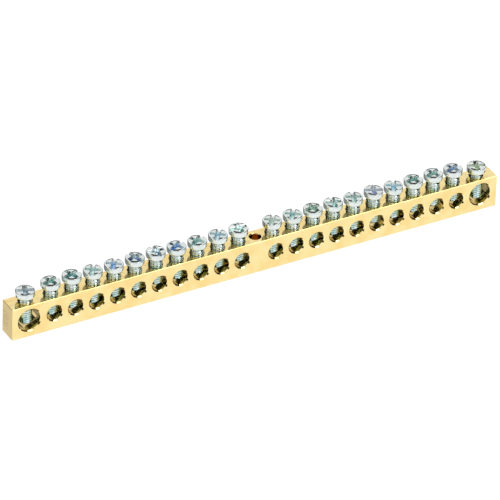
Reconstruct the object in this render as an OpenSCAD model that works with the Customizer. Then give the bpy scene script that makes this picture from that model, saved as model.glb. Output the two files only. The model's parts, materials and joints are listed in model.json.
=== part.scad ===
// Earth terminal bar: one drilled brass bar with a row of clamp screws, one screw to a way.
//
// A bared conductor goes into a way through the front face, and the screw over the way presses it
// against the way's floor. Two groups of small ways stand either side of a plain hole that takes
// the screw fixing the bar to its carrier, and one larger way stands at each end of the bar.
//
// X runs along the bar, Y from the front face to the back face, and Z is up.
// The origin is the middle of the bottom face.

/* [Bar] */
// Depth of the bar from the front face to the back face
bar_depth = 6; // [5.5:0.25:12]
// Height of the bar
bar_height = 10; // [9:0.5:16]
// Radius on the edges of the bar
bar_edge_radius = 0.25; // [0.1:0.05:0.5]

/* [Ways] */
// Number of small ways in each group
ways_per_group = 10; // [2:1:12]
// Distance between neighbouring small ways
way_pitch = 6.5; // [6.25:0.25:10]
// Bore of a small way
way_bore = 4.6; // [4:0.1:5]
// Height of the ways' axes above the bottom face
way_height = 5.25; // [4:0.25:5.5]
// Bore of the large way at each end
end_way_bore = 6.7; // [5:0.1:7]
// Distance from a large way to the nearest small way
end_way_step = 7.75; // [7.25:0.25:12]
// Distance from a large way to the end of the bar
end_margin = 5.3; // [4.5:0.1:10]
// Chamfer round the mouths of the ways
way_chamfer = 0.3; // [0.1:0.05:0.4]

/* [Fixing hole] */
// Distance between the two ways either side of the fixing hole
fixing_gap = 10.7; // [9:0.1:20]
// Bore of the fixing hole, a clearance hole for an M3 screw
fixing_bore = 3.2; // [2.5:0.1:4.5]
// Chamfer round the mouths of the fixing hole
fixing_chamfer = 0.2; // [0.1:0.05:0.4]

/* [Clamp screws] */
// Outside diameter of the screw thread
thread_diameter = 4; // [3:0.1:4.5]
// Gap between the thread's crests and the wall of its hole
thread_clearance = 0.05; // [0.02:0.01:0.1]
// Chamfer at the mouth of each screw hole
screw_hole_chamfer = 0.2; // [0.1:0.05:0.4]
// Length of the screw under its head
shank_length = 8.3; // [7.5:0.1:9]
// Depth that the plain neck under the head is turned in from the thread's crests
neck_depth = 0.35; // [0.2:0.05:0.6]
// Length of the plain neck
neck_length = 0.5; // [0.2:0.1:1]
// Chamfer at the point of the screw
point_chamfer = 0.7; // [0.3:0.1:1]
// Gap left under a screw that is right down, at its point or under its head
seat_clearance = 0.02; // [0.01:0.01:0.1]
// Diameter of the head
head_diameter = 5.5; // [5:0.1:6.2]
// Height of the head
head_height = 2.15; // [1.8:0.05:3]
// Radius round the top of the head
head_edge_radius = 0.35; // [0.1:0.05:0.6]
// Radius round the underside of the head
head_under_radius = 0.7; // [0.1:0.05:0.8]

/* [Screw recess] */
// Width of the slot that crosses the head, at the slot's floor
slot_width = 0.8; // [0.6:0.1:1.2]
// Depth of the slot
slot_depth = 0.7; // [0.6:0.1:1.4]
// Length of the cross recess over two opposite wings
cross_span = 4.2; // [3:0.1:4.8]
// Width of a wing of the cross recess, at its floor
cross_wing = 0.6; // [0.6:0.1:1.2]
// Depth of the cross recess
cross_depth = 1.6; // [1:0.1:1.7]
// Slope of the wings' ends, from the vertical
cross_slope = 26; // [15:1:30]
// Diameter of the cross recess's core at the top of the head
cross_core = 2; // [1.4:0.1:2.4]
// Slope of the sides of the slot and the wings, from the vertical
recess_draft = 10; // [0:1:15]

/* [Hidden] */
$fn = 64;
// Overlap of a cutting tool past the surface that it cuts
over = 0.5;

// How each screw stands, from the left: its lift above the place where it is right down,
// and the turn of its slot from X
SCREW_LIFTS = [
    0.85, 0.35, 0.55, 0.25, 0.25, 0.45, 0.65, 0.45, 0.35, 0.45, 0.65,
    0.25, 0.35, 0.45, 0.55, 0.45, 0.85, 0.55, 0.75, 0.95, 0.75, 0.75,
];
SLOT_TURNS = [
    160, 19, 18, 57, 55, 105, 88, 32, 35, 54, 177,
    55, 55, 10, 75, 68, 157, 63, 15, 20, 22, 160,
];

ways_per_side = ways_per_group + 1;
way_count = 2 * ways_per_side;
outer_small_way = fixing_gap / 2 + (ways_per_group - 1) * way_pitch;
end_way = outer_small_way + end_way_step;
bar_length = 2 * (end_way + end_margin);
screw_hole_diameter = thread_diameter + 2 * thread_clearance;
neck_diameter = thread_diameter - 2 * neck_depth;
point_diameter = thread_diameter - 2 * point_chamfer;

// Distance of a way from the middle of the bar, by its number counted outwards from there
function way_offset(step) = step < ways_per_group ? fixing_gap / 2 + step * way_pitch : end_way;

// Place of a way along the bar, by its number from the left
function way_x(i) = i < ways_per_side ? -way_offset(ways_per_side - 1 - i) : way_offset(i - ways_per_side);

function is_end_way(i) = i == 0 || i == way_count - 1;
function bore_of(i) = is_end_way(i) ? end_way_bore : way_bore;

// Height of the wall at the bottom of a way, at a distance x from the way's middle
function floor_height(bore, x) = way_height - sqrt(max(0, pow(bore / 2, 2) - pow(x, 2)));

// Height of a screw's point when the flat's edge or the chamfer's edge is down on that wall
function seated_point(bore) =
    max(
        floor_height(bore, point_diameter / 2),
        floor_height(bore, thread_diameter / 2) - point_chamfer
    );

// Height of the underside of a head when the point is down in its way, or the head on the bar
function seated_head(bore) = seat_clearance + max(bar_height, seated_point(bore) + shank_length);

function screw_name(i) = str("clamp_screw_", i < 9 ? "0" : "", i + 1);

// A rectangle about the origin with rounded corners
module rounded_rectangle(width, height, radius) {
    square([width - 2 * radius, height], center = true);
    square([width, height - 2 * radius], center = true);
    for (side = [-1, 1], end = [-1, 1])
        translate([side * (width / 2 - radius), end * (height / 2 - radius)]) circle(radius);
}

// The cut length of bar stock, with all its edges rounded
module bar_stock() {
    translate([0, 0, bar_height / 2])
        intersection() {
            linear_extrude(bar_height, center = true)
                rounded_rectangle(bar_length, bar_depth, bar_edge_radius);
            rotate([90, 0, 0]) linear_extrude(bar_depth, center = true)
                rounded_rectangle(bar_length, bar_height, bar_edge_radius);
            rotate([90, 0, 90]) linear_extrude(bar_length, center = true)
                rounded_rectangle(bar_depth, bar_height, bar_edge_radius);
        }
}

// A drill through stock from z = 0 to z = length, with a countersink at each mouth it opens
module drill(bore, length, chamfer, chamfer_bottom = true) {
    translate([0, 0, -over]) cylinder(h = length + 2 * over, d = bore);
    translate([0, 0, length - chamfer])
        cylinder(h = chamfer + over, d1 = bore, d2 = bore + 2 * (chamfer + over));
    if (chamfer_bottom)
        translate([0, 0, -over])
            cylinder(h = chamfer + over, d1 = bore + 2 * (chamfer + over), d2 = bore);
}

// The hole for the conductor, from the front face to the back face
module way(bore) {
    translate([0, bar_depth / 2, way_height]) rotate([90, 0, 0]) drill(bore, bar_depth, way_chamfer);
}

// The hole for the clamp screw, from the top face into the way
module screw_hole() {
    translate([0, 0, way_height])
        difference() {
            drill(screw_hole_diameter, bar_height - way_height, screw_hole_chamfer, false);
            translate([0, 0, -2 * over]) cylinder(h = 2 * over, d = 2 * screw_hole_diameter);
        }
}

module bar() {
    color("#e8c66a")
        difference() {
            bar_stock();
            for (i = [0 : way_count - 1])
                translate([way_x(i), 0, 0]) {
                    way(bore_of(i));
                    screw_hole();
                }
            drill(fixing_bore, bar_height, fixing_chamfer);
        }
}

// The head, standing on z = 0, with its top edge and its underside rounded
module screw_head() {
    top_radius = head_diameter / 2 - head_edge_radius;
    under_radius = head_diameter / 2 - head_under_radius;
    wall_top = head_height - head_edge_radius;
    rotate_extrude() {
        square([under_radius, head_height]);
        translate([0, head_under_radius]) square([top_radius, head_height - head_under_radius]);
        translate([0, head_under_radius]) square([head_diameter / 2, wall_top - head_under_radius]);
        translate([top_radius, wall_top])
            intersection() {
                circle(head_edge_radius);
                square(head_edge_radius);
            }
        translate([under_radius, head_under_radius])
            intersection() {
                circle(head_under_radius);
                translate([0, -head_under_radius]) square(head_under_radius);
            }
    }
}

// The neck, the threaded length and the chamfered point, hanging from z = 0
module screw_shank() {
    rotate_extrude()
        polygon([
            [0, over],
            [neck_diameter / 2, over],
            [neck_diameter / 2, -neck_length],
            [thread_diameter / 2, -neck_length - neck_depth],
            [thread_diameter / 2, point_chamfer - shank_length],
            [point_diameter / 2, -shank_length],
            [0, -shank_length],
        ]);
}

// The outline of a cut that narrows from z = over down to its floor, width wide there
module drafted_outline(width, depth, draft) {
    half_floor = width / 2;
    half_top = half_floor + (depth + over) * tan(draft);
    polygon([[-half_floor, -depth], [half_floor, -depth], [half_top, over], [-half_top, over]]);
}

// One pair of wings of the cross recess, cut from the top of the head along X
module cross_wings() {
    floor_span = cross_span - 2 * cross_depth * tan(cross_slope);
    intersection() {
        rotate([90, 0, 0]) linear_extrude(head_diameter, center = true)
            drafted_outline(floor_span, cross_depth, cross_slope);
        rotate([90, 0, 90]) linear_extrude(2 * head_diameter, center = true)
            drafted_outline(cross_wing, cross_depth, recess_draft);
    }
}

// The slot and the cross together, cut down from z = 0
module combination_recess() {
    rotate([90, 0, 90]) linear_extrude(2 * head_diameter, center = true)
        drafted_outline(slot_width, slot_depth, recess_draft);
    for (turn = [0, 90]) rotate(turn) cross_wings();
    translate([0, 0, -cross_depth])
        cylinder(h = cross_depth, d1 = cross_core / 2, d2 = cross_core);
}

module clamp_screw(i) {
    lift = SCREW_LIFTS[i % len(SCREW_LIFTS)];
    turn = SLOT_TURNS[i % len(SLOT_TURNS)];
    color("#c3d3d8")
        translate([way_x(i), 0, seated_head(bore_of(i)) + lift])
            rotate(turn)
                difference() {
                    union() {
                        screw_head();
                        screw_shank();
                    }
                    translate([0, 0, head_height]) combination_recess();
                }
}

bar();
for (i = [0 : way_count - 1])
    clamp_screw(i);
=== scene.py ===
"""Looks of the earth terminal bar: a drilled brass bar and its plated clamp screws.

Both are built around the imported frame, with its sizes and places.
"""
import json
import logging
import math
from dataclasses import dataclass
from enum import Enum
from typing import Any, Iterable, Sequence

import bmesh
import bpy
from bpy.types import Material, Mesh, Node, NodeSocket, NodeTree, Object
from mathutils import Matrix, Vector


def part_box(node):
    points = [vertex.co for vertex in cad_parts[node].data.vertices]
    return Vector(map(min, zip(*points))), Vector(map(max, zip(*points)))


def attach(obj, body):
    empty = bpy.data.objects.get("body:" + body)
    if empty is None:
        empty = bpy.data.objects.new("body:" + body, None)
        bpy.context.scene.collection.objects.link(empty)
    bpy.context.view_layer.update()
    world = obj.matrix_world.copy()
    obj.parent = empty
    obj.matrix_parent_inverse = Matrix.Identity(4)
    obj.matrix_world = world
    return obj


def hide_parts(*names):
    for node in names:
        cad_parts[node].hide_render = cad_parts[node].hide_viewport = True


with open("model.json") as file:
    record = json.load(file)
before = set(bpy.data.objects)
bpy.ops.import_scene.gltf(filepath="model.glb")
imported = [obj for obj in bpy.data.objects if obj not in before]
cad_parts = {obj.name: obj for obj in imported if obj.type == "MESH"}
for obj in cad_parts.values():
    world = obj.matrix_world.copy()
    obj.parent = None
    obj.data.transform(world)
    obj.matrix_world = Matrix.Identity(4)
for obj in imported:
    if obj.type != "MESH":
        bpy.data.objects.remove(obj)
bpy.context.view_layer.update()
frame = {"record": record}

LOG = logging.getLogger("earth_bar")
MM = 0.001
SMOOTH_ANGLE = math.radians(32)
QUARTER_TURN = math.pi / 2

Colour = tuple[float, float, float]
Point2 = tuple[float, float]
Socket = NodeSocket


class Slot(Enum):
    """The record's material slots."""

    BRASS = "brass"
    ZINC = "zinc_plate"


class Cut(Enum):
    """How two solids are combined."""

    UNION = "UNION"
    DIFFERENCE = "DIFFERENCE"
    INTERSECT = "INTERSECT"


class Film(Enum):
    """Colours that the passivation on the zinc takes, where it is thick."""

    STEEL = (0.42, 0.52, 0.68)
    TEAL = (0.30, 0.64, 0.66)
    SEA = (0.40, 0.68, 0.66)
    BLUE = (0.22, 0.46, 0.92)
    DEEP = (0.24, 0.36, 0.76)
    CYAN = (0.26, 0.62, 0.86)
    PALE = (0.55, 0.76, 0.74)
    GREY = (0.50, 0.66, 0.56)
    GREEN = (0.45, 0.70, 0.56)
    VIOLET = (0.40, 0.42, 0.78)
    OLIVE = (0.62, 0.72, 0.44)


# ---- node trees


class Wiring:
    """Adds nodes to a tree and joins their sockets."""

    def __init__(self, tree: NodeTree) -> None:
        """Keeps the shader or geometry node tree that the nodes go into."""
        self.tree = tree

    def plug(self, socket: Socket, value: Any) -> None:
        """Links a socket to another, or gives it a plain value.

        Args:
            socket: the input to fill.
            value: a socket, or a plain value of the input's kind.
        """
        if isinstance(value, Socket):
            self.tree.links.new(value, socket)
        elif socket.type == "RGBA" and len(value) == 3:
            socket.default_value = (*value, 1.0)
        else:
            socket.default_value = value

    def add(self, kind: str, inputs: dict[int | str, Any] | None = None, **settings: Any) -> Node:
        """Adds one node.

        Args:
            kind: the node's type name.
            inputs: values or sockets for its inputs, by name or number.
            settings: the node's own settings.

        Returns:
            The new node.
        """
        node = self.tree.nodes.new(kind)
        for name, value in settings.items():
            setattr(node, name, value)
        for key, value in (inputs or {}).items():
            self.plug(node.inputs[key], value)
        return node

    def math(self, operation: str, *values: Any, clamp: bool = False) -> Socket:
        """The result of a math node on values or sockets."""
        inputs = dict(enumerate(values))
        return self.add("ShaderNodeMath", inputs, operation=operation, use_clamp=clamp).outputs[0]

    def times(self, first: Any, second: Any) -> Socket:
        """The product of two values or sockets."""
        return self.math("MULTIPLY", first, second)

    def flipped(self, value: Any) -> Socket:
        """One minus a value."""
        return self.math("SUBTRACT", 1.0, value)

    def vector_math(self, operation: str, *values: Any, output: int = 0) -> Socket:
        """The result of a vector math node on values or sockets."""
        return self.add("ShaderNodeVectorMath", dict(enumerate(values)), operation=operation).outputs[output]

    def split(self, vector: Socket) -> Sequence[Socket]:
        """The X, Y and Z of a vector."""
        return self.add("ShaderNodeSeparateXYZ", {0: vector}).outputs

    def join(self, x: Any = 0.0, y: Any = 0.0, z: Any = 0.0) -> Socket:
        """A vector from its X, Y and Z."""
        return self.add("ShaderNodeCombineXYZ", {0: x, 1: y, 2: z}).outputs[0]

    def ramp(self, value: Any, low: float, high: float) -> Socket:
        """A smooth step of a value from 0 at low to 1 at high."""
        inputs = {0: value, 1: low, 2: high, 3: 0.0, 4: 1.0}
        return self.add("ShaderNodeMapRange", inputs, interpolation_type="SMOOTHSTEP").outputs[0]

    def blend(self, factor: Any, first: Any, second: Any, how: str = "MIX") -> Socket:
        """A colour between two colours.

        Args:
            factor: how much of the second colour shows, from 0 to 1.
            first: the colour at 0.
            second: the colour at 1.
            how: MIX, or MULTIPLY to tint the first colour with the second.

        Returns:
            The colour.
        """
        node = self.add("ShaderNodeMix", data_type="RGBA", blend_type=how)
        for index, value in ((0, factor), (6, first), (7, second)):
            self.plug(node.inputs[index], value)
        return node.outputs[2]

    def place(self) -> Socket:
        """Where a point lies on the object, in metres."""
        return self.add("ShaderNodeTexCoord").outputs["Object"]

    def noise(self, where: Any, scale: float, detail: float = 2.0, roughness: float = 0.5) -> Socket:
        """Noise at a place, 0 to 1."""
        inputs = {"Vector": where, "Scale": scale, "Detail": detail, "Roughness": roughness}
        return self.add("ShaderNodeTexNoise", inputs).outputs[0]

    def stretched(self, where: Any, scale: Sequence[float], location: Sequence[float] = (0, 0, 0),
                  rotation: Sequence[float] = (0, 0, 0)) -> Socket:
        """Coordinates moved, turned and stretched for a pattern."""
        inputs = {"Vector": where, "Scale": scale, "Location": location, "Rotation": rotation}
        return self.add("ShaderNodeMapping", inputs).outputs[0]

    def relief(self, shader: Node, strength: Any, depth: float, height: Socket) -> None:
        """Gives a shader a fine relief, as strong and as deep in metres as told."""
        bump = self.add("ShaderNodeBump", {"Strength": strength, "Distance": depth, "Height": height})
        self.plug(shader.inputs["Normal"], bump.outputs[0])

    def rays(self) -> tuple[Socket, Socket]:
        """Whether the camera looks along a ray, and whether something shiny or clear does."""
        path = self.add("ShaderNodeLightPath").outputs
        return path["Is Camera Ray"], self.math("MAXIMUM", path["Is Glossy Ray"], path["Is Transmission Ray"])


class GeometryTree(Wiring):
    """A geometry node tree with named inputs."""

    def __init__(self, name: str) -> None:
        """Starts a tree of this name that takes and gives geometry."""
        super().__init__(bpy.data.node_groups.new(name, "GeometryNodeTree"))
        self.sockets: dict[str, str] = {}
        self.tree.interface.new_socket("Geometry", in_out="INPUT", socket_type="NodeSocketGeometry")
        self.tree.interface.new_socket("Geometry", in_out="OUTPUT", socket_type="NodeSocketGeometry")
        self.entry = self.add("NodeGroupInput")

    def take(self, name: str, kind: str = "NodeSocketFloat") -> Socket:
        """Adds a named input.

        Args:
            name: what the input is called.
            kind: its socket type.

        Returns:
            The socket that gives its value inside the tree.
        """
        item = self.tree.interface.new_socket(name, in_out="INPUT", socket_type=kind)
        self.sockets[name] = item.identifier
        return next(s for s in self.entry.outputs if s.identifier == item.identifier)

    def gathered(self, parts: Iterable[Socket]) -> Socket:
        """Several geometries as one.

        Args:
            parts: the geometries.

        Returns:
            The joined geometry.
        """
        node = self.add("GeometryNodeJoinGeometry")
        for part in parts:
            self.tree.links.new(part, node.inputs[0])
        return node.outputs[0]

    def moved(self, geometry: Socket, shift: Socket, turn: Sequence[float] = (0, 0, 0)) -> Socket:
        """Geometry turned about the origin and then shifted."""
        inputs = {"Geometry": geometry, "Translation": shift, "Rotation": turn}
        return self.add("GeometryNodeTransform", inputs).outputs[0]

    def realized(self, geometry: Socket) -> Socket:
        """Instances made into plain geometry."""
        return self.add("GeometryNodeRealizeInstances", {0: geometry}).outputs[0]

    def painted(self, geometry: Socket, where: Any, material: Socket) -> Socket:
        """Geometry with a material on the faces where the selection holds."""
        inputs = {"Geometry": geometry, "Selection": where, "Material": material}
        return self.add("GeometryNodeSetMaterial", inputs).outputs[0]

    def cut(self, body: Socket, tools: Iterable[Socket]) -> Socket:
        """Cuts tools out of a body.

        Args:
            body: the geometry to cut.
            tools: closed geometries to take away.

        Returns:
            What is left of the body.
        """
        node = self.add("GeometryNodeMeshBoolean", operation="DIFFERENCE", solver="MANIFOLD")
        self.plug(node.inputs["Mesh 1"], body)
        for tool in tools:
            self.tree.links.new(tool, node.inputs["Mesh 2"])
        return node.outputs[0]

    def finish(self, geometry: Socket) -> None:
        """Sends the geometry to the tree's output."""
        self.add("NodeGroupOutput", {0: geometry})

    def run(self, base: Object, values: dict[str, Any]) -> Mesh:
        """Runs the tree on an object and returns the plain mesh.

        Args:
            base: the object whose mesh goes in.
            values: a value for each named input.

        Returns:
            The evaluated mesh, with the modifier removed from the object.
        """
        modifier = base.modifiers.new("build", "NODES")
        modifier.node_group = self.tree
        for name, value in values.items():
            modifier[self.sockets[name]] = value
        mesh = evaluated_mesh(base)
        base.modifiers.clear()
        return mesh


# ---- meshes, in millimetres until they are placed


def evaluated_mesh(obj: Object) -> Mesh:
    """Applies an object's modifiers.

    Args:
        obj: the object, which keeps its own mesh.

    Returns:
        A new mesh with the modifiers applied.
    """
    bpy.context.view_layer.update()
    source = obj.evaluated_get(bpy.context.evaluated_depsgraph_get())
    return bpy.data.meshes.new_from_object(source)


def new_object(name: str, mesh: Mesh) -> Object:
    """Puts a mesh into the scene.

    Args:
        name: the object's name.
        mesh: its mesh.

    Returns:
        The new object, at the origin.
    """
    obj = bpy.data.objects.new(name, mesh)
    bpy.context.scene.collection.objects.link(obj)
    return obj


def mesh_of(name: str, shape: bmesh.types.BMesh) -> Mesh:
    """Turns a bmesh into a mesh with its normals outwards, and frees it.

    Args:
        name: the mesh's name.
        shape: the bmesh, which can't be used afterwards.

    Returns:
        The mesh.
    """
    bmesh.ops.recalc_face_normals(shape, faces=shape.faces)
    mesh = bpy.data.meshes.new(name)
    shape.to_mesh(mesh)
    shape.free()
    return mesh


def lathe(name: str, profile: Sequence[Point2], facets: int) -> Mesh:
    """A closed solid of revolution about Z.

    Args:
        name: the mesh's name.
        profile: (radius, height) from the top pole to the bottom pole, both at radius 0.
        facets: how many steps go round.

    Returns:
        The mesh.
    """
    shape = bmesh.new()
    rings: list[list[bmesh.types.BMVert]] = []
    for radius, height in profile:
        if radius == 0:
            rings.append([shape.verts.new((0, 0, height))])
            continue
        turns = (2 * math.pi * k / facets for k in range(facets))
        rings.append([shape.verts.new((radius * math.cos(a), radius * math.sin(a), height)) for a in turns])
    for upper, lower in zip(rings, rings[1:]):
        for k in range(facets):
            n = (k + 1) % facets
            left = (upper[k % len(upper)], lower[k % len(lower)])
            right = (lower[n % len(lower)], upper[n % len(upper)])
            shape.faces.new(tuple(dict.fromkeys(left + right)))
    return mesh_of(name, shape)


def prism(name: str, outline: Sequence[Point2], width: float) -> Mesh:
    """A closed prism along Y, centred on the origin.

    Args:
        name: the mesh's name.
        outline: the (x, z) corners of its ends, in order.
        width: its length along Y.

    Returns:
        The mesh.
    """
    shape = bmesh.new()
    sides = [[shape.verts.new((x, y, z)) for x, z in outline] for y in (-width / 2, width / 2)]
    for k in range(len(outline)):
        n = (k + 1) % len(outline)
        shape.faces.new((sides[0][k], sides[0][n], sides[1][n], sides[1][k]))
    shape.faces.new(sides[0])
    shape.faces.new(sides[1][::-1])
    return mesh_of(name, shape)


def combined(base: Object, tools: Iterable[Object], how: Cut) -> None:
    """Joins or cuts an object with others, which are then removed.

    Args:
        base: the object that is changed.
        tools: the objects to join, or to cut with.
        how: what is done with them.
    """
    for tool in tools:
        modifier = base.modifiers.new("cut", "BOOLEAN")
        modifier.operation, modifier.solver, modifier.object = how.value, "MANIFOLD", tool
        mesh = evaluated_mesh(base)
        base.modifiers.clear()
        base.data = mesh
        bpy.data.objects.remove(tool)


def finish_shading(obj: Object) -> None:
    """Shades an object smoothly, and keeps its flats flat and its corners sharp.

    Args:
        obj: the object, whose mesh is renewed.
    """
    mesh = obj.data
    mesh.polygons.foreach_set("use_smooth", [True] * len(mesh.polygons))
    mesh.set_sharp_from_angle(angle=SMOOTH_ANGLE)
    modifier = obj.modifiers.new("flats", "WEIGHTED_NORMAL")
    modifier.keep_sharp = True
    modifier.weight = 100
    obj.data = evaluated_mesh(obj)
    obj.modifiers.clear()


def arc(radius: float, centre: Point2, start: float, end: float, steps: int) -> list[Point2]:
    """Points along an arc, with angles in degrees."""
    angles = (math.radians(start + (end - start) * k / steps) for k in range(steps + 1))
    return [(centre[0] + radius * math.cos(a), centre[1] + radius * math.sin(a)) for a in angles]


# ---- finishes


def new_material(name: str) -> tuple[Material, Wiring, Node]:
    """Starts a metal.

    Args:
        name: the material's name.

    Returns:
        The material, its wiring and its shader node.
    """
    material = bpy.data.materials.new(name)
    material.use_nodes = True
    shader = material.node_tree.nodes["Principled BSDF"]
    shader.inputs["Metallic"].default_value = 1.0
    return material, Wiring(material.node_tree), shader


@dataclass(frozen=True)
class DrawnBrass:
    """Drawn brass: bright and warmly mottled, with draw lines and faint stains, and dark smears painted on
    the top face as the blurred reflection of the screws' heads.

    Scales are in features to the metre, and heights and depths in metres.
    """

    name: str = "brass_drawn"
    pale: Colour = (1.0, 0.83, 0.40)
    warm: Colour = (1.0, 0.74, 0.30)
    stain: Colour = (0.80, 0.45, 0.16)
    reflection_smear: Colour = (0.52, 0.40, 0.19)
    roughness: float = 0.12
    mottle_scale: float = 260.0
    stain_scale: float = 900.0
    stain_strength: float = 0.35
    reflection_smear_scale: tuple[float, float, float] = (520, 900, 1)
    reflection_smear_strength: float = 0.55
    top_face: tuple[float, float] = (0.00993, 0.00997)
    line_scale: tuple[float, float, float] = (60, 9000, 9000)
    grain_scale: float = 5000.0
    relief: float = 0.06
    relief_depth: float = 0.00002

    def material(self) -> Material:
        """Builds the node material.

        Returns:
            The material.
        """
        material, wiring, shader = new_material(self.name)
        place = wiring.place()
        mottling = wiring.noise(place, self.mottle_scale, 3.0)
        tone = wiring.blend(wiring.ramp(mottling, 0.35, 0.7), self.pale, self.warm)
        elsewhere = wiring.stretched(place, (1, 1, 1), (0.13, 0.02, 0.01))
        blotches = wiring.noise(elsewhere, self.stain_scale, 4.0, 0.65)
        stained = wiring.times(wiring.ramp(blotches, 0.62, 0.78), self.stain_strength)
        # Dark smears on the top face: a painted reflection of the screws' heads, blurred.
        on_top_face = wiring.ramp(wiring.split(place)[2], *self.top_face)
        reflection_clouds = wiring.noise(wiring.stretched(place, self.reflection_smear_scale, (3.0, 1.0, 0)), 1.0, 4.0, 0.6)
        painted_reflection = wiring.times(wiring.times(on_top_face, wiring.ramp(reflection_clouds, 0.5, 0.72)), self.reflection_smear_strength)
        surface = wiring.blend(painted_reflection, wiring.blend(stained, tone, self.stain), self.reflection_smear)
        wiring.plug(shader.inputs["Base Color"], surface)
        lines = wiring.noise(wiring.stretched(place, self.line_scale), 1.0, 3.0)
        grain = wiring.noise(place, self.grain_scale, 2.0)
        broad = wiring.math("ADD", wiring.times(mottling, 0.10), self.roughness - 0.05)
        wiring.plug(shader.inputs["Roughness"], wiring.math("ADD", broad, wiring.times(grain, 0.04)))
        height = wiring.math("ADD", lines, wiring.times(grain, 0.6))
        wiring.relief(shader, self.relief, self.relief_depth, height)
        return material


@dataclass(frozen=True)
class SawnBrass:
    """The bar's cut ends: duller, with slanted marks of the saw over part of the height and depth.

    Scales are in features to the metre, and places and depths in metres.
    """

    name: str = "brass_sawn"
    metal: Colour = (0.66, 0.50, 0.215)
    mark: Colour = (0.16, 0.11, 0.04)
    roughness: float = 0.30
    mark_spacing_mm: float = 0.75
    mark_slope: float = 0.34
    mark_strength: float = 0.75
    marks_begin: tuple[float, float] = (0.0015, 0.003)
    marks_end: tuple[float, float] = (0.0085, 0.007)
    marks_fade: tuple[float, float] = (-0.0012, 0.0002)
    wander: float = 0.0003
    scratch_scale: tuple[float, float, float] = (1, 200, 9000)
    relief: float = 0.25
    relief_depth: float = 0.00004

    def material(self) -> Material:
        """Builds the node material.

        Returns:
            The material.
        """
        material, wiring, shader = new_material(self.name)
        place = wiring.place()
        spot = wiring.split(place)
        wander = wiring.times(wiring.noise(place, 900.0, 2.0), self.wander)
        slanted = wiring.math("ADD", wiring.math("MULTIPLY_ADD", spot[1], self.mark_slope, spot[2]), wander)
        wave = wiring.math("SINE", wiring.times(slanted, 2 * math.pi / (self.mark_spacing_mm * MM)))
        low, high = wiring.ramp(spot[2], *self.marks_begin), wiring.ramp(spot[2], *self.marks_end)
        zone = wiring.times(wiring.times(low, high), wiring.ramp(spot[1], *self.marks_fade))
        lines = wiring.times(wiring.ramp(wave, 0.35, 0.95), zone)
        uneven = wiring.ramp(wiring.noise(place, 1400.0, 3.0), 0.3, 0.6)
        dark = wiring.times(wiring.times(lines, uneven), self.mark_strength)
        wiring.plug(shader.inputs["Base Color"], wiring.blend(dark, self.metal, self.mark))
        along = wiring.stretched(place, self.scratch_scale, rotation=(self.mark_slope, 0, 0))
        scratches = wiring.noise(along, 1.0, 4.0)
        rough = wiring.math("MULTIPLY_ADD", scratches, 0.14, self.roughness - 0.07)
        wiring.plug(shader.inputs["Roughness"], rough)
        height = wiring.math("SUBTRACT", scratches, lines)
        wiring.relief(shader, self.relief, self.relief_depth, height)
        return material


@dataclass(frozen=True)
class BoredBrass:
    """Drilled walls: darker brass with fine rings from the drill, and painted shade in streaks on the fixing
    hole's walls.

    Scales are in features to the metre, and widths and depths in metres.
    """

    name: str = "brass_bored"
    metal: Colour = (0.86, 0.69, 0.34)
    oiled: Colour = (0.66, 0.51, 0.20)
    fixing_hole_shade: Colour = (0.66, 0.44, 0.17)
    roughness: float = 0.11
    oil_scale: float = 700.0
    fixing_zone: tuple[float, float] = (0.0026, 0.0022)
    shade_streak_scale: tuple[float, float, float] = (2600, 2600, 60)
    ring_scale: tuple[float, float, float] = (120, 7000, 120)
    relief: float = 0.18
    relief_depth: float = 0.00003

    def material(self) -> Material:
        """Builds the node material.

        Returns:
            The material.
        """
        material, wiring, shader = new_material(self.name)
        place = wiring.place()
        oily = wiring.ramp(wiring.noise(place, self.oil_scale, 3.0), 0.35, 0.65)
        walls = wiring.blend(oily, self.metal, self.oiled)
        # Painted shade: the fixing hole's walls, near the bar's middle, are darkened in streaks.
        from_middle = wiring.math("ABSOLUTE", wiring.split(place)[0])
        shade_streaks = wiring.ramp(wiring.noise(wiring.stretched(place, self.shade_streak_scale), 1.0, 3.0), 0.35, 0.6)
        shade_amount = wiring.math("MULTIPLY_ADD", shade_streaks, 0.5, 0.5)
        painted_shade = wiring.times(wiring.ramp(from_middle, *self.fixing_zone), shade_amount)
        wiring.plug(shader.inputs["Base Color"], wiring.blend(painted_shade, walls, self.fixing_hole_shade))
        rings = wiring.noise(wiring.stretched(place, self.ring_scale), 1.0, 3.0)
        rough = wiring.math("MULTIPLY_ADD", rings, 0.12, self.roughness - 0.06)
        wiring.plug(shader.inputs["Roughness"], rough)
        wiring.relief(shader, self.relief, self.relief_depth, rings)
        return material


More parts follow.
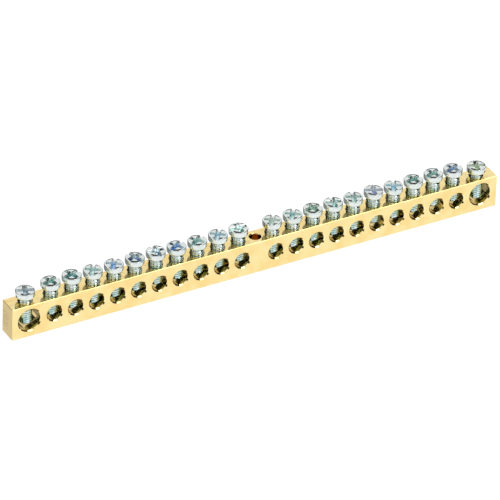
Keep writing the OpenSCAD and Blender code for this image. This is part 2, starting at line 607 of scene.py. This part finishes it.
@dataclass(frozen=True)
class BluePlate:
    """Bright zinc plating with a blue passivation, thin and silvery outside and thick in the recess.

    Scales are in features to the metre, and the depth in metres.
    """

    name: str = "zinc_blue"
    silver: Colour = (0.76, 0.83, 0.80)
    white: Colour = (0.86, 0.90, 0.885)
    roughness: float = 0.10
    drift_scale: float = 900.0
    film_scale: float = 520.0
    grain_scale: float = 6000.0
    dent_scale: float = 1500.0
    relief: tuple[float, float] = (0.08, 0.9)
    relief_depth: float = 0.00006

    def material(self) -> Material:
        """Builds the node material.

        The mesh's film attribute tells how the passivation tints the plate, with painted shade on the shank
        inside the bar, and its alpha how dented it is.

        Returns:
            The material.
        """
        material, wiring, shader = new_material(self.name)
        place = wiring.place()
        film = wiring.add("ShaderNodeAttribute", attribute_name="film").outputs
        drift = wiring.ramp(wiring.noise(place, self.drift_scale, 3.0), 0.32, 0.68)
        plain = wiring.blend(drift, self.silver, self.white)
        elsewhere = wiring.stretched(place, (1, 1, 1), (0.3, 0.1, 0.2))
        amount = wiring.ramp(wiring.noise(elsewhere, self.film_scale, 3.0), 0.25, 0.6)
        tinted = wiring.blend(amount, plain, film["Color"], "MULTIPLY")
        wiring.plug(shader.inputs["Base Color"], tinted)
        grain = wiring.noise(place, self.grain_scale, 3.0)
        rough = wiring.math("MULTIPLY_ADD", grain, 0.10, self.roughness - 0.05)
        wiring.plug(shader.inputs["Roughness"], rough)
        height = wiring.math("MULTIPLY_ADD", grain, 0.25, wiring.noise(place, self.dent_scale, 3.0))
        least, more = self.relief
        strength = wiring.math("MULTIPLY_ADD", wiring.math("POWER", film["Alpha"], 2.0), more, least)
        wiring.relief(shader, strength, self.relief_depth, height)
        return material


# ---- the bar


@dataclass
class TerminalBar:
    """The drilled bar: a cut length of brass with ways, screw holes and a fixing hole.

    Sizes are in millimetres. The bar's own box and its holes come from the frame. The skin, the chamfer's
    share and the ends' facing tell drilled, chamfered and cut faces from the drawn ones. The ways' chamfers
    get a paler brass, a painted highlight.
    """

    record: dict[str, Any]
    edge_break: float = 0.08
    way_chamfer: float = 0.3
    screw_bore: float = 4.1
    screw_chamfer: float = 0.1
    fixing_chamfer: float = 0.2
    over: float = 0.5
    skin: float = 0.01
    chamfer_share: float = 0.9
    end_facing: float = 0.9
    facets: int = 72
    drawn: DrawnBrass = DrawnBrass()
    sawn: SawnBrass = SawnBrass()
    bored: BoredBrass = BoredBrass()
    # Paler, smoother brass on the ways' chamfers: a painted highlight.
    highlight_chamfer: DrawnBrass = DrawnBrass("brass_chamfer_painted_highlight", (1.0, 0.88, 0.52), roughness=0.08)

    def __post_init__(self) -> None:
        """Reads the bar's box and its holes from the frame."""
        low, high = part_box("bar")
        self.length, self.depth, self.height = ((high - low) / MM)[:]
        mounts = {m["name"]: m for m in self.record["mounts"]}
        self.ways = [m for name, m in sorted(mounts.items()) if name.startswith("way_")]
        self.fixing = mounts["fixing_hole"]

    def stock(self) -> Object:
        """The bar before it is drilled, with its edges lightly broken.

        Returns:
            The object, which becomes the bar.
        """
        shape = bmesh.new()
        bmesh.ops.create_cube(shape, size=1.0)
        bmesh.ops.scale(shape, vec=(self.length, self.depth, self.height), verts=shape.verts)
        bmesh.ops.translate(shape, vec=(0, 0, self.height / 2), verts=shape.verts)
        edges = list(shape.edges)
        bmesh.ops.bevel(shape, geom=edges, offset=self.edge_break, segments=1, affect="EDGES")
        return new_object("terminal_bar", mesh_of("terminal_bar", shape))

    def drill(self, name: str, bore: float, length: float, chamfer: float, both: bool) -> Object:
        """A drill along Z, from 0 to its length, with the countersinks of the mouths that it opens.

        Args:
            name: the drill's name.
            bore: its diameter.
            length: how deep it goes.
            chamfer: the countersinks' width.
            both: whether it opens a mouth at 0 as well.

        Returns:
            The drill.
        """
        radius, wide = bore / 2, bore / 2 + chamfer + self.over
        top = [(0, length + self.over), (wide, length + self.over), (radius, length - chamfer)]
        end = [(radius, chamfer), (wide, -self.over), (0, -self.over)] if both else [(radius, 0), (0, 0)]
        return new_object(name, lathe(name, top + end, self.facets))

    def drills_at(self, tree: GeometryTree, points: Socket, drill: Socket,
                  back: Socket | None = None) -> Socket:
        """Drills at every point of a row.

        Args:
            tree: the tree to work in.
            points: where they go.
            drill: the drill's object.
            back: the way from a point to the back face, for a drill that lies across the bar.

        Returns:
            The drills.
        """
        shape = tree.add("GeometryNodeObjectInfo", {0: drill}).outputs["Geometry"]
        if back is not None:
            shape = tree.moved(shape, back, (QUARTER_TURN, 0, 0))
        inputs = {"Points": points, "Instance": shape}
        return tree.realized(tree.add("GeometryNodeInstanceOnPoints", inputs).outputs[0])

    def zones(self, tree: GeometryTree) -> tuple[Socket, Socket, Socket]:
        """Tells the drilled and cut faces from the drawn ones.

        Args:
            tree: the tree to work in.

        Returns:
            Selections of the holes' walls, the ways' chamfers and the bar's cut ends.
        """
        facing = tree.split(tree.add("GeometryNodeInputNormal").outputs[0])
        spot = tree.split(tree.add("GeometryNodeInputPosition").outputs[0])
        half_depth, half_height = self.depth / 2, self.height / 2
        along = tree.math("ABSOLUTE", spot[0])
        across = tree.math("ABSOLUTE", spot[1])
        upright = tree.math("ABSOLUTE", tree.math("SUBTRACT", spot[2], half_height))
        inner = tree.math("LESS_THAN", along, self.length / 2 - 2 * self.edge_break)
        inside = tree.times(
            tree.math("LESS_THAN", across, half_depth - self.skin),
            tree.math("LESS_THAN", upright, half_height - self.skin),
        )
        long_edge = tree.times(
            tree.math("GREATER_THAN", across, half_depth - self.edge_break),
            tree.math("GREATER_THAN", upright, half_height - self.edge_break),
        )
        walls = tree.times(tree.times(inner, inside), tree.flipped(long_edge))
        by_mouth = tree.math("GREATER_THAN", across, half_depth - self.chamfer_share * self.way_chamfer)
        chamfers = tree.times(walls, by_mouth)
        sideways = tree.math("GREATER_THAN", tree.math("ABSOLUTE", facing[0]), self.end_facing)
        return walls, chamfers, tree.times(sideways, tree.flipped(inner))

    def pattern(self) -> GeometryTree:
        """The tree that drills the bar: two groups of small ways, two large ones, a screw hole over each.

        Returns:
            The tree, with inputs for its spacings, its drills and its finishes.
        """
        tree = GeometryTree("drilled_bar")
        count = tree.take("Ways per Group", "NodeSocketInt")
        names = ("Way Pitch", "Fixing Gap", "End Way", "Way Height", "Bar Depth")
        pitch, gap, end, height, depth = (tree.take(name) for name in names)
        drills = ("Small Drill", "End Drill", "Screw Drill", "Fixing Drill")
        small, large, screw, fixing = (tree.take(name, "NodeSocketObject") for name in drills)
        finishes = ("Drawn", "Bored", "Sawn", "Chamfer Highlight")
        drawn, bored, sawn, highlight_chamfer = (tree.take(name, "NodeSocketMaterial") for name in finishes)
        half_gap = tree.times(gap, 0.5)
        outermost = tree.math("MULTIPLY_ADD", pitch, tree.math("SUBTRACT", count, 1), half_gap)
        step = tree.join(pitch)
        rows = []
        for number, start, offset in (
            (count, tree.times(outermost, -1), step),
            (count, half_gap, step),
            (2, tree.times(end, -1), tree.join(tree.times(end, 2))),
        ):
            inputs = {"Count": number, "Start Location": tree.join(start, 0.0, height), "Offset": offset}
            rows.append(tree.add("GeometryNodeMeshLine", inputs).outputs[0])
        every, groups = tree.gathered(rows), tree.gathered(rows[:2])
        back = tree.join(0.0, tree.times(depth, 0.5))
        fixing_drill = tree.add("GeometryNodeObjectInfo", {0: fixing}).outputs["Geometry"]
        across = [self.drills_at(tree, groups, small, back), self.drills_at(tree, rows[2], large, back)]
        body = tree.cut(tree.entry.outputs[0], across)
        body = tree.realized(tree.cut(body, [self.drills_at(tree, every, screw), fixing_drill]))
        walls, chamfers, ends = self.zones(tree)
        # The chamfers take the paler brass, a painted highlight.
        for material, where in ((drawn, True), (bored, walls), (highlight_chamfer, chamfers), (sawn, ends)):
            body = tree.painted(body, where, material)
        tree.finish(body)
        return tree

    def build(self) -> Object:
        """Builds the drilled bar.

        Returns:
            The dressed object, in place of the CAD node.
        """
        xs = sorted(way["pos_m"][0] / MM for way in self.ways)
        bores = sorted(2 * way["dims"]["r_mm"] for way in self.ways)
        per_group = len(xs) // 2 - 1
        axis_height = self.ways[0]["pos_m"][2] / MM
        over_way = self.height - axis_height
        fixing_bore = 2 * self.fixing["dims"]["r_mm"]
        tools = {
            "Small Drill": self.drill("drill_small", bores[0], self.depth, self.way_chamfer, True),
            "End Drill": self.drill("drill_end", bores[-1], self.depth, self.way_chamfer, True),
            "Screw Drill": self.drill("drill_screw", self.screw_bore, over_way, self.screw_chamfer, False),
            "Fixing Drill": self.drill("drill_fixing", fixing_bore, self.height, self.fixing_chamfer, True),
        }
        values = {
            "Ways per Group": per_group,
            "Way Pitch": xs[2] - xs[1],
            "Fixing Gap": xs[per_group + 1] - xs[per_group],
            "End Way": xs[-1],
            "Way Height": axis_height,
            "Bar Depth": self.depth,
            "Drawn": self.drawn.material(),
            "Bored": self.bored.material(),
            "Sawn": self.sawn.material(),
            "Chamfer Highlight": self.highlight_chamfer.material(),
            **tools,
        }
        bar = self.stock()
        bar.data = self.pattern().run(bar, values)
        for tool in tools.values():
            bpy.data.objects.remove(tool)
        finish_shading(bar)
        bar.data.transform(Matrix.Scale(MM, 4))
        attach(bar, "bar")
        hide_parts("bar")
        return bar


# ---- the clamp screws


SHANK_SIZES = ("thread_pitch", "crest_radius", "root_radius", "neck_radius", "neck_length",
               "shank_length", "point_chamfer")
SHANK_COUNTS = ("shank_facets", "rows_per_turn")


@dataclass
class ClampScrew:
    """One shape of clamp screw, placed over every way.

    Sizes are in millimetres, from the underside of the head, and slopes and drafts in degrees.
    """

    head_diameter: float = 5.5
    head_height: float = 2.15
    edge_radius: float = 0.22
    crown_radius: float = 2.1
    crown_slope: float = 15.0
    crown_blend: tuple[float, float, float] = (0.1, 0.04, 0.01)
    under_radius: float = 0.7
    slot_width: float = 0.72
    slot_depth: float = 0.7
    cross_span: float = 4.5
    cross_wing: float = 0.6
    cross_depth: float = 1.3
    cross_slope: float = 26.0
    cross_core: float = 2.7
    core_narrowing: float = 7.0
    core_sides: int = 4
    slot_draft: float = 24.0
    wing_draft: float = 13.0
    rim_break: float = 0.14
    crest_radius: float = 2.0
    root_radius: float = 1.80
    root_share: float = 0.10
    flank_share: float = 0.36
    neck_radius: float = 1.65
    neck_length: float = 0.5
    shank_length: float = 8.3
    shank_in_head: float = 0.3
    point_chamfer: float = 0.7
    thread_pitch: float = 0.7
    over: float = 0.5
    merge_distance: float = 0.002
    least_edge: float = 0.001
    head_facets: int = 96
    shank_facets: int = 36
    rows_per_turn: int = 12
    plate: BluePlate = BluePlate()

    def head(self) -> Object:
        """The turned head, before its recess: a flat crown that falls off in a cone, and a rounded underside.

        Returns:
            The object, which becomes the screw.
        """
        radius, top = self.head_diameter / 2, self.head_height
        slope = math.radians(self.crown_slope)
        bend = radius - self.edge_radius
        cone_end = bend + self.edge_radius * math.sin(slope)
        drop = (cone_end - self.crown_radius) * math.tan(slope) + self.edge_radius * math.cos(slope)
        inside, outside, fall = self.crown_blend
        profile = [(0.0, top), (self.crown_radius - inside, top), (self.crown_radius + outside, top - fall)]
        profile += arc(self.edge_radius, (bend, top - drop), 90 - self.crown_slope, 0, 7)
        profile += arc(self.under_radius, (radius - self.under_radius, self.under_radius), 0, -90, 9)
        profile += [(0.0, 0.0)]
        return new_object("screw_head", lathe("screw_head", profile, self.head_facets))

    def cut_side(self, floor_width: float, depth: float, slope: float) -> list[Point2]:
        """One side view of a cut: its floor, its sloping sides and its broken rim.

        Args:
            floor_width: how wide the floor is.
            depth: how deep the cut is.
            slope: how far its sides lean outwards, in degrees.

        Returns:
            The outline, with its top at 0.
        """
        floor = floor_width / 2
        rim = floor + (depth - self.rim_break) * math.tan(math.radians(slope))
        flare = rim + self.rim_break + self.over
        return [(-floor, -depth), (floor, -depth), (rim, -self.rim_break), (flare, self.over),
                (-flare, self.over), (-rim, -self.rim_break)]

    def recess(self) -> list[Object]:
        """The tools that cut the slot and the cross, with their rims broken.

        Returns:
            The slot's tool, one for each pair of wings, and the core's.
        """
        lift = Matrix.Translation((0, 0, self.head_height))
        along_x = Matrix.Rotation(QUARTER_TURN, 4, "Z")
        right_across = 2 * self.head_diameter
        slot_side = self.cut_side(self.slot_width, self.slot_depth, self.slot_draft)
        slot = new_object("slot_tool", prism("slot_tool", slot_side, right_across))
        slot.data.transform(lift @ along_x)
        tools = [slot]
        floor_span = self.cross_span - 2 * self.cross_depth * math.tan(math.radians(self.cross_slope))
        span_side = self.cut_side(floor_span, self.cross_depth, self.cross_slope)
        wing_side = self.cut_side(self.cross_wing, self.cross_depth, self.wing_draft)
        for turn in (0.0, QUARTER_TURN):
            wings = new_object("wing_tool", prism("wing_tool", span_side, self.head_diameter))
            width = new_object("wing_width", prism("wing_width", wing_side, right_across))
            width.data.transform(along_x)
            combined(wings, [width], Cut.INTERSECT)
            wings.data.transform(lift @ Matrix.Rotation(turn, 4, "Z"))
            tools.append(wings)
        wide, narrow = self.cross_core / 2, self.cross_core / self.core_narrowing
        flare = wide + self.over * (wide - narrow) / self.cross_depth
        outline = [(0, self.over), (flare, self.over), (narrow, -self.cross_depth), (0, -self.cross_depth)]
        core = lathe("core_tool", outline, self.core_sides)
        core.transform(lift)
        tools.append(new_object("core_tool", core))
        return tools

    def shank_tree(self) -> GeometryTree:
        """The tree that winds the shank's thread and closes its ends.

        A grid is rolled up: its X goes round the shank, and its Y winds down along the thread.

        Returns:
            The tree, with inputs for the shank's sizes and its finish.
        """
        tree = GeometryTree("threaded_screw")
        pitch, crest, root, neck, neck_length, length, chamfer = (tree.take(name) for name in SHANK_SIZES)
        facets, rows = (tree.take(name, "NodeSocketInt") for name in SHANK_COUNTS)
        plate = tree.take("plate", "NodeSocketMaterial")
        turns = tree.math("ADD", tree.math("CEIL", tree.math("DIVIDE", length, pitch)), 2.0)
        grid = tree.add("GeometryNodeMeshGrid", {
            "Size X": 1.0,
            "Size Y": 1.0,
            "Vertices X": tree.math("ADD", facets, 1.0),
            "Vertices Y": tree.math("ADD", tree.times(turns, rows), 1.0),
        }).outputs[0]
        spot = tree.split(tree.add("GeometryNodeInputPosition").outputs[0])
        part_of_turn = tree.math("ADD", spot[0], 0.5)
        wound = tree.times(tree.math("SUBTRACT", 0.5, spot[1]), turns)
        from_crest = tree.math("SUBTRACT", tree.math("FRACT", wound), 0.5)
        flank = tree.times(tree.math("ABSOLUTE", from_crest), 2.0)
        past_root = tree.math("SUBTRACT", flank, self.root_share)
        swell = tree.math("DIVIDE", past_root, self.flank_share, clamp=True)
        thread = tree.math("MULTIPLY_ADD", tree.math("SUBTRACT", crest, root), swell, root)
        free_level = tree.times(tree.math("SUBTRACT", part_of_turn, wound), pitch)
        point = tree.times(length, -1)
        level = tree.math("MINIMUM", tree.math("MAXIMUM", free_level, point), 0.0)
        below_neck = tree.math("SUBTRACT", tree.times(level, -1), neck_length)
        run_in = tree.math("ADD", neck, tree.math("MAXIMUM", below_neck, 0.0))
        tip = tree.math("SUBTRACT", crest, chamfer)
        run_out = tree.math("ADD", tip, tree.math("ADD", level, length))
        radius = tree.math("MINIMUM", tree.math("MINIMUM", thread, run_in), run_out)
        least = tree.times(tree.math("LESS_THAN", below_neck, 0.0), neck)
        radius = tree.math("MAXIMUM", radius, least)
        angle = tree.times(part_of_turn, 2 * math.pi)
        x = tree.times(radius, tree.math("COSINE", angle))
        y = tree.times(radius, tree.math("SINE", angle))
        at_head = tree.math("GREATER_THAN", level, -0.0001)
        z = tree.math("MULTIPLY_ADD", at_head, self.shank_in_head, level)
        inputs = {"Geometry": grid, "Position": tree.join(x, y, z)}
        parts = [tree.add("GeometryNodeSetPosition", inputs).outputs[0]]
        for size, height in ((neck, self.shank_in_head), (tip, point)):
            inputs = {"Vertices": facets, "Radius": size}
            disc = tree.add("GeometryNodeMeshCircle", inputs, fill_type="NGON").outputs[0]
            parts.append(tree.moved(disc, tree.join(0.0, 0.0, height)))
        inputs = {"Geometry": tree.gathered(parts), "Distance": self.merge_distance}
        shank = tree.add("GeometryNodeMergeByDistance", inputs).outputs[0]
        tree.finish(tree.painted(tree.realized(shank), True, plate))
        return tree

    def build(self) -> Object:
        """Builds the one screw that the others are copies of.

        Returns:
            The screw, in millimetres, with its head's underside at 0.
        """
        plate = self.plate.material()
        screw = self.head()
        combined(screw, self.recess(), Cut.DIFFERENCE)
        shank = new_object("screw_shank", bpy.data.meshes.new("screw_shank"))
        values = {name: getattr(self, name) for name in SHANK_SIZES + SHANK_COUNTS}
        shank.data = self.shank_tree().run(shank, {**values, "plate": plate})
        shape = bmesh.new()
        shape.from_mesh(shank.data)
        bmesh.ops.dissolve_degenerate(shape, dist=self.least_edge, edges=shape.edges)
        shank.data = mesh_of("screw_shank", shape)
        combined(screw, [shank], Cut.UNION)
        screw.data.materials.clear()
        screw.data.materials.append(plate)
        finish_shading(screw)
        return screw


@dataclass
class ScrewRow:
    """All the clamp screws, each on its own body, with its own turn and film.

    The shares say how much of the film's colour shows, and the dents how uneven the plate is, outside
    and in the recess. Sizes are in millimetres.
    """

    screw: ClampScrew
    turns: tuple[float, ...]
    films: tuple[Film, ...]
    shank_film: Film = Film.TEAL
    outside_share: float = 0.06
    shank_share: float = 0.24
    way_shade_share: float = 0.6
    recess_share: float = 0.88
    exposed_length: float = 1.8
    full_depth: float = 1.5
    head_base: float = 0.2
    rim_share: float = 0.4
    dents: tuple[float, float] = (0.3, 0.7)

    def in_recess(self, centre: Vector) -> bool:
        """Tells whether a face lies in the slot or the cross, below the crown and inside the rim.

        Args:
            centre: the face's middle.

        Returns:
            True in the recess.
        """
        screw = self.screw
        distance = math.hypot(centre.x, centre.y)
        fall = max(0.0, distance - screw.crown_radius) * math.tan(math.radians(screw.crown_slope))
        sunk = centre.z < screw.head_height - fall - self.rim_share * screw.rim_break
        return sunk and centre.z > self.head_base and distance < screw.head_diameter / 2 - screw.edge_radius

    def share(self, sunk: bool, height: float) -> float:
        """How much of the film's colour shows: deeper in the recess, and more on the shank inside the bar,
        where the extra tint is painted shade.

        Args:
            sunk: whether the face is in the recess.
            height: the corner's height over the underside of the head.

        Returns:
            The share, from 0 to 1.
        """
        if sunk:
            depth = (self.screw.head_height - height) / self.full_depth
            more = self.recess_share - self.outside_share
            return self.outside_share + more * min(max(depth, 0.0), 1.0)
        if height < 0:
            # Inside the bar the shank takes more of the film's tint, as painted shade.
            return self.shank_share if height > -self.exposed_length else self.way_shade_share
        return self.outside_share

    def colour(self, mesh: Mesh, film: Film) -> None:
        """Stores the film's colour on a screw's faces, before it is placed, with painted shade on the shank
        inside the bar.

        Args:
            mesh: the screw's mesh, in millimetres.
            film: the head's film.
        """
        layer = mesh.attributes.new("film", "FLOAT_COLOR", "CORNER")
        for face in mesh.polygons:
            sunk = self.in_recess(face.center)
            colour = self.shank_film.value if face.center.z < 0 else film.value
            for corner, vertex in zip(face.loop_indices, face.vertices):
                share = self.share(sunk, mesh.vertices[vertex].co.z)
                tint = [1.0 + share * (part - 1.0) for part in colour]
                layer.data[corner].color = (*tint, self.dents[sunk])

    def build(self) -> list[Object]:
        """Copies the screw to every place in the frame.

        Returns:
            The screws, from the left.
        """
        master = self.screw.build()
        screws = []
        for number, (turn, film) in enumerate(zip(self.turns, self.films), 1):
            node = f"clamp_screw_{number:02d}"
            low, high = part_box(node)
            middle = (low + high) / 2
            under_head = high.z - self.screw.head_height * MM
            mesh = master.data.copy()
            self.colour(mesh, film)
            mesh.transform(
                Matrix.Translation((middle.x, middle.y, under_head))
                @ Matrix.Rotation(math.radians(turn), 4, "Z")
                @ Matrix.Scale(MM, 4)
            )
            piece = new_object(f"{node}_plated", mesh)
            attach(piece, node)
            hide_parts(node)
            screws.append(piece)
        bpy.data.objects.remove(master)
        return screws


# ---- studio


@dataclass(frozen=True)
class Viewpoint:
    """Where the camera stands, in metres, and where it looks."""

    eye: tuple[float, float, float] = (-0.61437114, -1.0606385, 0.81545555)
    forward: tuple[float, float, float] = (0.41743337, 0.72233449, -0.55134590)
    roll_deg: float = 2.081959
    lens_mm: float = 379.84258
    sensor_mm: float = 36.0

    def build(self) -> Object:
        """Makes the scene's camera.

        Returns:
            The camera.
        """
        data = bpy.data.cameras.new("camera")
        data.lens, data.sensor_width = self.lens_mm, self.sensor_mm
        camera = bpy.data.objects.new("camera", data)
        turn = Vector(self.forward).to_track_quat("-Z", "Y").to_matrix().to_4x4()
        roll = Matrix.Rotation(math.radians(self.roll_deg), 4, "Z")
        camera.matrix_world = Matrix.Translation(self.eye) @ turn @ roll
        bpy.context.scene.collection.objects.link(camera)
        bpy.context.scene.camera = camera
        return camera


@dataclass(frozen=True)
class Light:
    """One bright patch of the studio: where it stands, how wide it is in degrees, and how strong.

    Azimuth 0 is straight out in front of the bar, and positive to the right.
    """

    azimuth: float
    elevation: float
    radius: float = 0.0
    strength: float = 1.0
    soft: float = 3.0

    @property
    def direction(self) -> tuple[float, float, float]:
        """A unit vector towards it."""
        a, e = math.radians(self.azimuth), math.radians(self.elevation)
        return (math.sin(a) * math.cos(e), -math.cos(a) * math.cos(e), math.sin(e))

    def wire(self, wiring: Wiring, way: Socket) -> Socket:
        """The patch's strength seen along a direction.

        Args:
            wiring: the world's nodes.
            way: the direction.

        Returns:
            The strength, which falls to 0 over the patch's soft edge.
        """
        facing = wiring.vector_math("DOT_PRODUCT", way, self.direction, output=1)
        outer, inner = (math.cos(math.radians(self.radius + side)) for side in (self.soft, -self.soft))
        return wiring.times(wiring.ramp(facing, outer, inner), self.strength)


@dataclass(frozen=True)
class Gap:
    """The dark strip between the soft boxes overhead, which gives polished rims their dark lines.

    Each pair gives where it begins to darken and where it is darkest, as parts of a unit direction.
    """

    across_axis: tuple[float, float, float] = (0.866, -0.5, 0.0)
    along_axis: tuple[float, float, float] = (0.5, 0.866, 0.0)
    across: tuple[float, float] = (0.24, 0.18)
    begin: tuple[float, float] = (-0.06, 0.0)
    end: tuple[float, float] = (0.68, 0.62)
    height: tuple[float, float] = (0.4, 0.5)
    darkness: float = 0.95

    def wire(self, wiring: Wiring, way: Socket, height: Socket) -> Socket:
        """What is left of the light along a direction.

        Args:
            wiring: the world's nodes.
            way: the direction.
            height: its upright part.

        Returns:
            A factor, 1 outside the strip.
        """
        across = wiring.math("ABSOLUTE", wiring.vector_math("DOT_PRODUCT", way, self.across_axis, output=1))
        along = wiring.vector_math("DOT_PRODUCT", way, self.along_axis, output=1)
        stretch = wiring.times(wiring.ramp(along, *self.begin), wiring.ramp(along, *self.end))
        strip = wiring.times(wiring.ramp(across, *self.across), stretch)
        strip = wiring.times(strip, wiring.ramp(height, *self.height))
        return wiring.flipped(wiring.times(strip, self.darkness))


@dataclass(frozen=True)
class Studio:
    """A white table and backdrop, soft boxes around, and a dark room beyond them. Sizes in metres."""

    lights: tuple[Light, ...] = (
        Light(150.0, 40.0, 30.0, 0.90, 4.0),
        Light(0.0, 90.0, 44.0, 0.92, 4.0),
        Light(27.0, 49.0, 17.0, 2.8, 1.5),
        Light(-92.0, 40.0, 22.0, 1.0, 4.0),
        Light(-41.0, 26.0, 6.0, 1.0, 2.0),
        Light(-30.0, 32.0, 18.0, 1.0, 3.0),
    )
    room: float = 0.02
    gap: Gap = Gap()
    below: tuple[float, float] = (-0.15, -0.25)
    floor_size: float = 4.0
    floor_drop: float = 0.00002
    floor_glow: tuple[float, float] = (0.75, 1.1)
    table_fade: tuple[float, float] = (0.10, 0.22)
    table_far: float = 0.2
    shade: tuple[float, float] = (0.0, 0.008)
    shade_sides: tuple[float, float] = (0.078, 0.074)
    shade_level: float = 0.3
    lamp_place: Light = Light(10.0, 62.0)
    lamp_distance: float = 1.4
    lamp_size: float = 0.8
    lamp_power: float = 8.0

    def world(self) -> None:
        """The surroundings: white to the camera, a studio to what shines."""
        world = bpy.data.worlds.new("studio")
        world.use_nodes = True
        bpy.context.scene.world = world
        world.node_tree.nodes.clear()
        wiring = Wiring(world.node_tree)
        way = wiring.vector_math("NORMALIZE", wiring.add("ShaderNodeTexCoord").outputs["Generated"])
        height = wiring.split(way)[2]
        lit: Any = self.room
        for light in self.lights:
            lit = wiring.math("MAXIMUM", lit, light.wire(wiring, way))
        lit = wiring.times(lit, self.gap.wire(wiring, way, height))
        strength = wiring.math("MAXIMUM", lit, wiring.ramp(height, *self.below))
        _, shiny = wiring.rays()
        plain = wiring.add("ShaderNodeBackground", {"Color": (1, 1, 1), "Strength": 1.0}).outputs[0]
        studio = wiring.add("ShaderNodeBackground", {"Color": (1, 1, 1), "Strength": strength}).outputs[0]
        mixed = wiring.add("ShaderNodeMixShader", {0: shiny, 1: plain, 2: studio}).outputs[0]
        wiring.add("ShaderNodeOutputWorld", {0: mixed})

    def floor(self) -> Object:
        """The white table, on which the bar's soft shadow stays.

        What shines sees it fade away from the bar, and shaded behind it.

        Returns:
            The table.
        """
        shape = bmesh.new()
        bmesh.ops.create_grid(shape, x_segments=1, y_segments=1, size=self.floor_size / 2)
        floor = new_object("floor", mesh_of("floor", shape))
        material = bpy.data.materials.new("table_white")
        material.use_nodes = True
        material.node_tree.nodes.clear()
        wiring = Wiring(material.node_tree)
        direct, shiny = wiring.rays()
        matt = wiring.add("ShaderNodeBsdfDiffuse", {"Color": (0.8, 0.8, 0.8)}).outputs[0]
        share, power = self.floor_glow
        glow = wiring.add("ShaderNodeEmission", {"Color": (1, 1, 1), "Strength": power}).outputs[0]
        seen = wiring.add("ShaderNodeMixShader", {0: share, 1: matt, 2: glow}).outputs[0]
        place = wiring.place()
        far = wiring.ramp(wiring.vector_math("LENGTH", place, output=1), *self.table_fade)
        spot = wiring.split(place)
        beside = wiring.ramp(wiring.math("ABSOLUTE", spot[0]), *self.shade_sides)
        behind = wiring.times(wiring.ramp(spot[1], *self.shade), beside)
        near = wiring.math("MULTIPLY_ADD", behind, self.shade_level - 1.0, 1.0)
        level = wiring.times(near, wiring.math("MULTIPLY_ADD", far, self.table_far - 1.0, 1.0))
        mirror = wiring.add("ShaderNodeEmission", {"Color": (1, 1, 1), "Strength": level}).outputs[0]
        camera = wiring.add("ShaderNodeMixShader", {0: direct, 1: matt, 2: seen}).outputs[0]
        result = wiring.add("ShaderNodeMixShader", {0: shiny, 1: camera, 2: mirror}).outputs[0]
        wiring.add("ShaderNodeOutputMaterial", {0: result})
        floor.data.materials.append(material)
        floor.location.z = -self.floor_drop
        return floor

    def lamp(self) -> Object:
        """A large soft lamp over the front, for the shadow.

        Returns:
            The lamp.
        """
        data = bpy.data.lights.new("soft_lamp", "AREA")
        data.shape, data.size, data.energy = "DISK", self.lamp_size, self.lamp_power
        lamp = bpy.data.objects.new("soft_lamp", data)
        toward = Vector(self.lamp_place.direction)
        lamp.location = toward * self.lamp_distance
        lamp.rotation_euler = (-toward).to_track_quat("-Z", "Y").to_euler()
        lamp.visible_glossy = False
        bpy.context.scene.collection.objects.link(lamp)
        return lamp

    def build(self) -> None:
        """Makes the surroundings, the floor and the lamp."""
        self.world()
        self.floor()
        self.lamp()
        bpy.context.scene.view_settings.view_transform = "Standard"


# ---- the scene


SLOT_TURNS = (
    160.0, 19.0, 18.0, 57.0, 55.0, 105.0, 88.0, 32.0, 35.0, 54.0, 177.0,
    55.0, 55.0, 10.0, 75.0, 68.0, 157.0, 63.0, 15.0, 20.0, 22.0, 160.0,
)
FILMS = (
    Film.STEEL, Film.SEA, Film.TEAL, Film.TEAL, Film.BLUE, Film.DEEP, Film.STEEL, Film.BLUE, Film.TEAL,
    Film.CYAN, Film.PALE, Film.GREY, Film.TEAL, Film.GREEN, Film.SEA, Film.SEA, Film.VIOLET, Film.CYAN,
    Film.SEA, Film.SEA, Film.DEEP, Film.OLIVE,
)


def report(piece: Object) -> None:
    """Logs a finished piece."""
    LOG.info("%s: %d faces", piece.name, len(piece.data.polygons))


def main() -> None:
    logging.basicConfig(level=logging.INFO, format="%(message)s")
    Viewpoint().build()
    report(TerminalBar(frame["record"]).build())
    for piece in ScrewRow(ClampScrew(), SLOT_TURNS, FILMS).build():
        report(piece)
    Studio().build()


if __name__ == "__main__":
    main()
